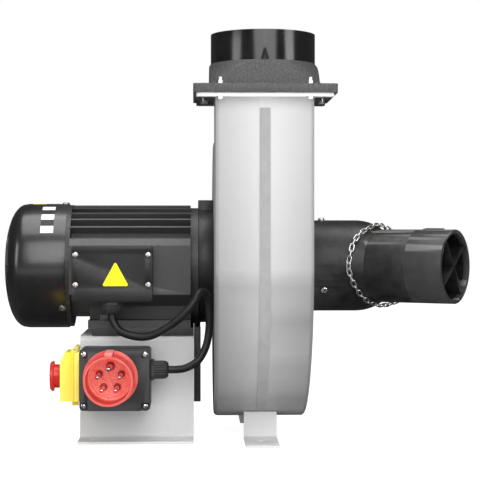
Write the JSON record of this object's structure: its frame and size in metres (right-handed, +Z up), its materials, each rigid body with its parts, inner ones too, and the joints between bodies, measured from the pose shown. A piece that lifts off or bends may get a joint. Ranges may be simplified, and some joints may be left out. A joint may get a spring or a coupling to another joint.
{
  "type": "dust extraction fan",
  "caption": "Centrifugal dust extraction fan: foot-mounted motor on a sheet stand, spiral housing, forked hose inlet, outlet collar on top, with plug inlet and flap switch.",
  "frame": {"origin": "on the floor, at the middle of the stand's four floor holes", "axes": "+X along the shaft from the motor towards the inlet, +Z up, -Y the front with the power plug"},
  "size_m": [0.6342, 0.4236, 0.5172],
  "materials": {
    "stand_paint": "satin light grey paint",
    "housing_paint": "matt grey powder coat",
    "black_paint": "semi-gloss black paint",
    "motor_casting": "black painted casting",
    "black_plastic": "fine-grained black moulding",
    "grey_plastic": "dark grey moulding",
    "red_plastic": "signal red moulding",
    "yellow_plastic": "signal yellow moulding",
    "green_plastic": "green moulding",
    "cable_rubber": "matt black cable jacket",
    "zinc": "bright zinc plating",
    "bright_steel": "ground steel",
    "steel": "plain steel",
    "copper": "enamelled winding wire",
    "terminal_brown": "phenolic board with brass studs"
  },
  "bodies": {
    "fan": {"stand": "stand_paint", "side_plate": "black_paint", "motor_rails": "black_paint", "foot_bolts": "zinc", "motor_frame": "motor_casting", "terminal_box": "motor_casting", "terminal_lid": "motor_casting", "terminal_lid_screws": "zinc", "terminal_gland": "black_plastic", "terminal_board": "terminal_brown", "drive_end_shield": "motor_casting", "fan_end_shield": "motor_casting", "bearing_outer_rings": "bright_steel", "stator_core": "steel", "stator_windings": "copper", "fan_cowl": "black_paint", "cowl_screws": "zinc", "adapter_ring": "motor_casting", "adapter_screws": "zinc", "housing_motor_half": "housing_paint", "housing_inlet_half": "housing_paint", "seam_strap": "housing_paint", "front_foot": "stand_paint", "rear_foot": "stand_paint", "outlet_flange": "stand_paint", "outlet_collar": "black_plastic", "outlet_bolts": "zinc", "inlet_nozzle": "housing_paint", "inlet_fork": "black_plastic", "inlet_screws": "zinc", "front_sleeve": "black_plastic", "rear_sleeve": "black_plastic", "rear_cap": "black_plastic", "cap_chain": "zinc", "plug_box": "grey_plastic", "plug_box_lid": "grey_plastic", "plug_box_screws": "zinc", "plug_box_gland": "black_plastic", "plug_shroud": "red_plastic", "plug_pins": "bright_steel", "motor_cable": "cable_rubber", "switch_frame": "yellow_plastic", "switch_block": "grey_plastic", "flap_pin": "bright_steel"},
    "rotor": {"motor_shaft": "bright_steel", "rotor_core": "steel", "bearing_inner_rings": "bright_steel", "bearing_balls": "bright_steel", "cooling_fan": "black_plastic", "wheel_hub": "steel", "paddle_wheel": "black_paint", "shaft_key": "steel", "wheel_bolt": "zinc"},
    "flap": {"switch_flap": "yellow_plastic"},
    "mushroom": {"stop_mushroom": "red_plastic"},
    "start": {"start_button": "green_plastic"},
    "stop": {"stop_button": "red_plastic"}
  },
  "joints": [
    {"name": "rotor_spin", "type": "hinge", "parent": "fan", "child": "rotor", "pos_m": [0, 0, 0.2247], "axis": [1, 0, 0], "continuous": true},
    {"name": "flap_hinge", "type": "hinge", "parent": "fan", "child": "flap", "pos_m": [-0.0756, -0.118, 0.1217], "axis": [0, 1, 0], "range_deg": [0, 110]},
    {"name": "mushroom_press", "type": "slide", "parent": "flap", "child": "mushroom", "axis": [1, 0, 0], "range_m": [0, 0.004], "stiffness_N_per_m": 400},
    {"name": "start_press", "type": "slide", "parent": "fan", "child": "start", "axis": [1, 0, 0], "range_m": [0, 0.0035], "stiffness_N_per_m": 300},
    {"name": "stop_press", "type": "slide", "parent": "fan", "child": "stop", "axis": [1, 0, 0], "range_m": [0, 0.0035], "stiffness_N_per_m": 300}
  ]
}
